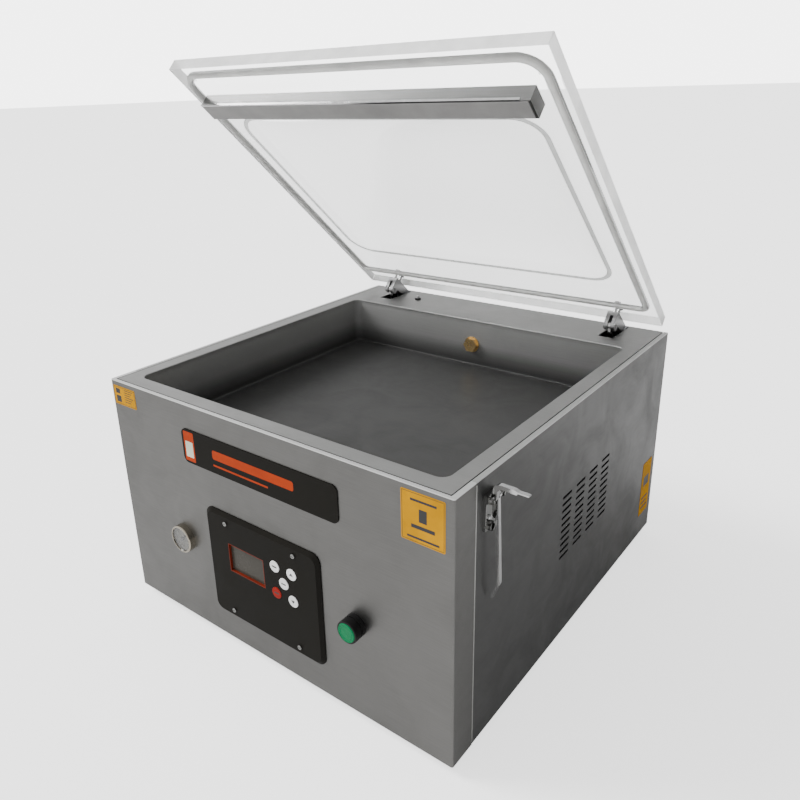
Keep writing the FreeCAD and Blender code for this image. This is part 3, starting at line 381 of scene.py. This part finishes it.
def ring_mesh(path, profile, level):
    """Sweeps a closed (outward, up) profile round a closed level path."""
    vertices = [(x + nx * out, y + ny * out, level + up)
                for (x, y), (nx, ny) in path for out, up in profile]
    count, size = len(path), len(profile)
    faces = [(i * size + j, i * size + (j + 1) % size,
              (i + 1) % count * size + (j + 1) % size, (i + 1) % count * size + j)
             for i in range(count) for j in range(size)]
    return vertices, faces


def prism(outline, low, high, axis="Y"):
    """A closed outline drawn across an axis and given thickness along it."""
    def point(a, b, level):
        return {"X": (level, a, b), "Y": (a, level, b), "Z": (a, b, level)}[axis]
    count = len(outline)
    vertices = [point(a, b, low) for a, b in outline] + [point(a, b, high) for a, b in outline]
    faces = [tuple(range(count)), tuple(range(2 * count - 1, count - 1, -1))]
    faces += [(i, (i + 1) % count, (i + 1) % count + count, i + count) for i in range(count)]
    return vertices, faces


def joined(*meshes):
    """Several vertex and face lists as one."""
    vertices, faces = [], []
    for some_vertices, some_faces in meshes:
        start = len(vertices)
        vertices += some_vertices
        faces += [tuple(index + start for index in face) for face in some_faces]
    return vertices, faces


def box_outline(x0, z0, x1, z1, radius=0.0):
    """A rectangle, with round corners if it has a radius."""
    if radius == 0:
        return [(x0, z0), (x1, z0), (x1, z1), (x0, z1)]
    return [point for point, _ in round_path(x0, z0, x1, z1, [radius] * 4, 5)]


def turned(profile, x, z, steps=64):
    """Turns a closed (radius, level) profile about a front-to-back axis at x, z."""
    angles = [math.tau * i / steps for i in range(steps)]
    vertices = [(x + radius * math.cos(a), level, z + radius * math.sin(a))
                for radius, level in profile for a in angles]
    faces = []
    for j in range(len(profile)):
        here, there = j * steps, (j + 1) % len(profile) * steps
        for i in range(steps):
            k = (i + 1) % steps
            faces.append((here + i, here + k, there + k, there + i))
    return vertices, faces


def spread(low, high, stops, step):
    """Grid lines from low to high that pass through every stop, about a step apart."""
    lines = []
    edges = [low, *stops, high]
    for one, two in zip(edges, edges[1:]):
        parts = max(1, round((two - one) / step))
        lines += [one + (two - one) * i / parts for i in range(parts)]
    return [*lines, high]


DOME_X = 220.0
DOME_BACK = LID_BACK - 118.0
DOME_FRONT = LID_BACK - 445.0
DOME_RISE_UNDER = 16.0
DOME_RISE_TOP = 13.5
PLATE_GRID = 6.5
GASKET_PATH = round_path(-250, LID_BACK - 526.5, 250, LID_BACK - 45, [27, 27, 11, 11], 10)
GROOVE = [(-4.4, -6), (4.4, -6), (4.4, 4.1), (-4.4, 4.1)]


def dome(x, y):
    """How far the plate is blown up at a point, from 0 at the clamped edge to 1."""
    u = x / DOME_X
    v = (y - (DOME_BACK + DOME_FRONT) / 2) / ((DOME_BACK - DOME_FRONT) / 2)
    if abs(u) >= 1 or abs(v) >= 1:
        return 0.0
    return (1 - abs(u) ** 5) * (1 - abs(v) ** 4)


def domed_plate():
    """Vertices and faces of the plate with its dome, and how many faces come before its edge."""
    xs = spread(-LID_HALF, LID_HALF, [-DOME_X, DOME_X], PLATE_GRID)
    ys = spread(LID_BACK - LID_LENGTH, LID_BACK, [DOME_FRONT, DOME_BACK], PLATE_GRID)
    wide = len(ys)
    vertices, faces = [], []
    for level, rise in ((LID_UNDER, DOME_RISE_UNDER), (LID_UNDER + LID_THICK, DOME_RISE_TOP)):
        start = len(vertices)
        vertices += [(x, y, level + rise * dome(x, y)) for x in xs for y in ys]
        faces += [(start + i * wide + j, start + (i + 1) * wide + j,
                   start + (i + 1) * wide + j + 1, start + i * wide + j + 1)
                  for i in range(len(xs) - 1) for j in range(wide - 1)]
    top = len(xs) * wide
    rim = [i * wide for i in range(len(xs))]
    rim += [(len(xs) - 1) * wide + j for j in range(1, wide)]
    rim += [i * wide + wide - 1 for i in range(len(xs) - 2, -1, -1)]
    rim += [j for j in range(wide - 2, 0, -1)]
    edge_start = len(faces)
    faces += [(a, b, b + top, a + top) for a, b in zip(rim, rim[1:] + rim[:1])]
    return vertices, faces, edge_start


def lid_plate():
    """The clear plate: flat margin, blown dome with a crease where it was clamped, gasket groove."""
    vertices, faces, edge_start = domed_plate()
    plate = piece("lid_plate", vertices, faces, LID_CLEAR, "lid", lid=True, sharp=9)
    plate.data.materials.append(LID_EDGE)
    for face in plate.data.polygons[edge_start:]:
        face.material_index = 1
    bevel = plate.modifiers.new("edge", "BEVEL")
    bevel.width = 0.0011
    bevel.segments = 2
    bevel.limit_method = "ANGLE"
    bevel.angle_limit = math.radians(60)
    cutter = piece("groove_cutter", *ring_mesh(GASKET_PATH, GROOVE, LID_UNDER), LID_CLEAR, "lid",
                   lid=True)
    groove = plate.modifiers.new("groove", "BOOLEAN")
    groove.operation = "DIFFERENCE"
    groove.solver = "EXACT"
    groove.object = cutter
    bpy.context.view_layer.update()
    finished = bpy.data.meshes.new_from_object(
        plate.evaluated_get(bpy.context.evaluated_depsgraph_get()))
    plate.modifiers.clear()
    plate.data = finished
    bpy.data.objects.remove(cutter)
    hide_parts("lid")


def gasket():
    """Silicone ring with a round lip, seated in the lid's groove."""
    lip = [(4.1 * math.cos(a), -0.4 + 2.1 * math.sin(a))
           for a in (math.pi + math.pi * i / 8 for i in range(9))]
    profile = [*lip, (4.2, 3.9), (-4.2, 3.9)]
    ring = piece("gasket_ring", *ring_mesh(GASKET_PATH, profile, LID_UNDER), GASKET, "lid",
                 lid=True, sharp=40)
    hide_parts("lid_gasket")


def clamp_mark_and_crease_shade():
    """Faint frosted line round the dome, where the hot sheet was clamped to be blown; its grey tint is
    painted shade along the crease.
    """
    profile = [(-3.2, -0.06), (3.2, -0.06), (3.2, 0.2), (-3.2, 0.2)]
    path = round_path(-DOME_X - 1, DOME_FRONT - 1, DOME_X + 1, DOME_BACK + 1, [34] * 4, 12)
    mark = piece("lid_clamp_mark", *ring_mesh(path, profile, LID_UNDER), LID_CREASE_SHADE, "lid", lid=True)


def counter_bar_trim():
    """Bright folded lip along the bar's front lower edge."""
    front = LID_BACK - 492
    low = LID_UNDER - 17.2
    outline = [(front - 0.9, low - 0.5), (front + 1.3, low - 0.5), (front + 1.3, low + 0.0),
               (front - 0.05, low + 0.1), (front - 0.05, low + 2.4), (front - 0.9, low + 2.4)]
    lip = piece("counter_bar_lip", *prism(outline, -235, 224, "X"), CHROME, "lid", lid=True)


def flat_marks(name, outlines, level, depth, look, body):
    """Printed marks on a front face, as thin raised films."""
    marks = piece(name, *joined(*[prism(outline, level - depth, level) for outline in outlines]),
                  look, body)


def arrowhead(x, z, up):
    """A small triangle that points up for 1 and down for -1."""
    reach = 3.0
    base = z - up * reach * 0.55
    return [(x - reach, base), (x + reach, base), (x, z + up * reach * 0.75)]


def dash(x, z, half_width, half_height):
    return box_outline(x - half_width, z - half_height, x + half_width, z + half_height)


def key_marks():
    """A small generic symbol on each key."""
    symbols = {"top_left": dash(24.7, 163.1, 3.8, 0.9), "top_right": arrowhead(51.6, 163.1, 1),
               "middle": dash(38.0, 144.7, 3.6, 0.9), "stop": dash(24.9, 126.8, 3.8, 1.0),
               "low_right": arrowhead(51.6, 126.4, -1)}
    for name, outline in symbols.items():
        flat_marks(f"key_{name}_mark", [outline], FRONT - 5.2, FILM, INK, f"cap_{name}")


def gauge_marks():
    """Scale on the gauge's dial: an arc, and long and short ticks over three quarters of a turn."""
    x, z = GAUGE
    face = FRONT - 4.0
    ticks = []
    for i in range(31):
        angle = math.radians(225 - 9 * i)
        ahead = (math.cos(angle), math.sin(angle))
        across = (-ahead[1], ahead[0])
        inner, half = (11.2, 0.32) if i % 5 == 0 else (12.8, 0.16)
        ticks.append([(x + r * ahead[0] + w * across[0], z + r * ahead[1] + w * across[1])
                      for r, w in ((inner, -half), (15.0, -half), (15.0, half), (inner, half))])
    flat_marks("gauge_scale", ticks, face, FILM, INK, "cabinet")
    arc = [(x + r * math.cos(a), z + r * math.sin(a))
           for r, way in ((15.3, 1), (15.6, -1))
           for a in [math.radians(-45 + 270 * i / 40) for i in range(41)][::way]]
    flat_marks("gauge_arc", [arc], face, THIN_FILM, INK, "cabinet")


def name_plate_marks():
    """A coloured block with a pale card, and two coloured bars, in place of the plate's print."""
    face = FRONT - 1.2
    block = box_outline(-121.5, 256.5, -103, 296, 1.5)
    flat_marks("plate_block", [block], face, FILM, ORANGE, "cabinet")
    card = box_outline(-119, 262, -105.5, 283, 1)
    flat_marks("plate_card", [card], face - FILM, THIN_FILM, CARD, "cabinet")
    bars = [box_outline(-70, 272, 62, 284, 3), box_outline(-70, 262.8, 22, 265.2, 1)]
    flat_marks("plate_bars", bars, face, FILM, ORANGE, "cabinet")


def border_lines(x0, z0, x1, z1):
    """Four thin lines just inside a label's edge."""
    inset, line = 1.2, 0.5
    left, low, right, high = x0 + inset, z0 + inset, x1 - inset, z1 - inset
    return [box_outline(left, low, right, low + line), box_outline(left, high - line, right, high),
            box_outline(left, low + line, left + line, high - line),
            box_outline(right - line, low + line, right, high - line)]


def label_marks():
    """Generic print on the three labels: borders, bars and blocks."""
    lines = [box_outline(-238, 320 - 3.2 * i, -220 - 3 * (i % 3), 321 - 3.2 * i) for i in range(6)]
    blocks = [box_outline(-256, 302, -246, 311), box_outline(-256, 314, -247, 321)]
    bars = [box_outline(216, 315, 246, 317.5), box_outline(212, 274.5, 249, 276.8),
            box_outline(217, 286, 244, 290), box_outline(226, 294, 235, 308)]
    borders = border_lines(-260.5, 298.3, -215, 324.4) + border_lines(205, 270, 255.5, 325)
    flat_marks("label_print", borders + lines + blocks + bars, FRONT - 0.3, THIN_FILM, INK, "cabinet")
    side = joined(*[prism(outline, SIDE + 0.3, SIDE + 0.35, "X")
                    for outline in (box_outline(246, 96, 266, 112), box_outline(243, 58, 269, 61),
                                    box_outline(243, 66, 265, 69), box_outline(243, 74, 268, 77))])
    piece("side_label_print", *side, INK, "cabinet")


def button_rim():
    """Raised rim and inner ring of the start button's lens."""
    face = FRONT - 17.6
    rim = [(11.0, face), (10.9, face - 0.35), (10.2, face - 0.35), (10.1, face)]
    inner = [(8.3, face), (8.2, face - 0.2), (7.8, face - 0.2), (7.7, face)]
    rings = joined(turned(rim, *BUTTON), turned(inner, *BUTTON))
    piece("start_button_rings", *rings, LENS_GREEN, "start_cap")


def sheet_edges():
    """Painted highlights on the cut edges of the folded sheet: strips of lighter steel down the front
    panel's returns at both sides.
    """
    for name, x0, x1 in (("left", -SIDE - 0.25, -SIDE + 0.5), ("right", SIDE - 0.5, SIDE + 0.25)):
        strip = prism(box_outline(x0, -248.7, x1, -247.3), 16, RIM - 3, "Z")
        piece(f"return_edge_highlight_{name}", *strip, SHEET_EDGE_HIGHLIGHT, "cabinet")


lid_plate()
sheet_edges()
gasket()
clamp_mark_and_crease_shade()
counter_bar_trim()
key_marks()
gauge_marks()
name_plate_marks()
label_marks()
button_rim()


# ---- floor, light and camera ----

FLOOR_REACH = 60.0
FLOOR_GLOW = 1.6
AMBIENT = (0.15, 1.25)
BRIGHT_SKY = (-0.82, -0.42, 0.38)
BACKDROP = 5.0
SUN = 3.4
SUN_HEADING = Vector((1.0, 0.4, -0.85))


def seen_directly(tree):
    """1 for what is seen directly or through the clear lid, and 0 for what lights the machine."""
    rays = tree.nodes.new("ShaderNodeLightPath").outputs
    seen = worked_out(tree, "MAXIMUM", rays["Is Camera Ray"], rays["Is Transmission Ray"])
    bounces = worked_out(tree, "ADD", rays["Glossy Depth"], rays["Diffuse Depth"])
    straight = worked_out(tree, "LESS_THAN", bounces, 0.5)
    return worked_out(tree, "MULTIPLY", seen, straight)


def pale_floor():
    """A wide pale floor that glows only where it is seen directly."""
    floor_mesh = bpy.data.meshes.new("floor")
    corners = [(x * FLOOR_REACH, y * FLOOR_REACH, 0) for x, y in ((-1, -1), (1, -1), (1, 1), (-1, 1))]
    floor_mesh.from_pydata(corners, [], [(0, 1, 2, 3)])
    floor = bpy.data.objects.new("floor", floor_mesh)
    bpy.context.collection.objects.link(floor)
    look = Look("floor_pale", (0.86, 0.86, 0.86), 0.8)
    look.color(look.mix(look.between(look.noise(2.0), 0, 1), (0.85, 0.85, 0.85), (0.87, 0.87, 0.87)))
    look.set("Emission Color", (1.0, 1.0, 1.0, 1.0))
    glow = look.between(seen_directly(look.tree), 0, FLOOR_GLOW, 0, 1)
    look.link(glow, look.shader.inputs["Emission Strength"])
    floor_mesh.materials.append(look.material)


def sky():
    """Soft light, brightest from the left, the front and above, and a white backdrop behind it all."""
    world = bpy.data.worlds.new("studio")
    bpy.context.scene.world = world
    world.use_nodes = True
    tree = world.node_tree
    background = tree.nodes["Background"]
    background.inputs["Color"].default_value = (1.0, 1.0, 1.0, 1.0)
    where = tree.nodes.new("ShaderNodeTexCoord")
    ahead = tree.nodes.new("ShaderNodeVectorMath")
    ahead.operation = "DOT_PRODUCT"
    ahead.inputs[1].default_value = BRIGHT_SKY
    tree.links.new(where.outputs["Generated"], ahead.inputs[0])
    graded = tree.nodes.new("ShaderNodeMapRange")
    graded.inputs["From Min"].default_value = -0.8
    graded.inputs["From Max"].default_value = 0.8
    graded.inputs["To Min"].default_value, graded.inputs["To Max"].default_value = AMBIENT
    tree.links.new(ahead.outputs["Value"], graded.inputs["Value"])
    strength = tree.nodes.new("ShaderNodeMapRange")
    tree.links.new(seen_directly(tree), strength.inputs["Value"])
    tree.links.new(graded.outputs["Result"], strength.inputs["To Min"])
    strength.inputs["To Max"].default_value = BACKDROP
    tree.links.new(strength.outputs["Result"], background.inputs["Strength"])


def key_light():
    """One large soft lamp from the front left; it isn't mirrored in the metal."""
    sun = bpy.data.lights.new("key", "SUN")
    sun.energy = SUN
    sun.angle = math.radians(25)
    held = bpy.data.objects.new("key", sun)
    held.rotation_euler = SUN_HEADING.to_track_quat("-Z", "Y").to_euler()
    held.visible_glossy = False
    bpy.context.collection.objects.link(held)


def camera():
    lens = bpy.data.cameras.new("view")
    lens.sensor_width = 36.0
    lens.lens = 33.65
    lens.shift_x = 0.0380
    lens.shift_y = -0.0435
    held = bpy.data.objects.new("view", lens)
    held.location = at(576.2, -781.2, 677.8)
    held.rotation_euler = (1.21437739, 0.03254476, 0.67151033)
    bpy.context.collection.objects.link(held)
    bpy.context.scene.camera = held


pale_floor()
sky()
key_light()
camera()
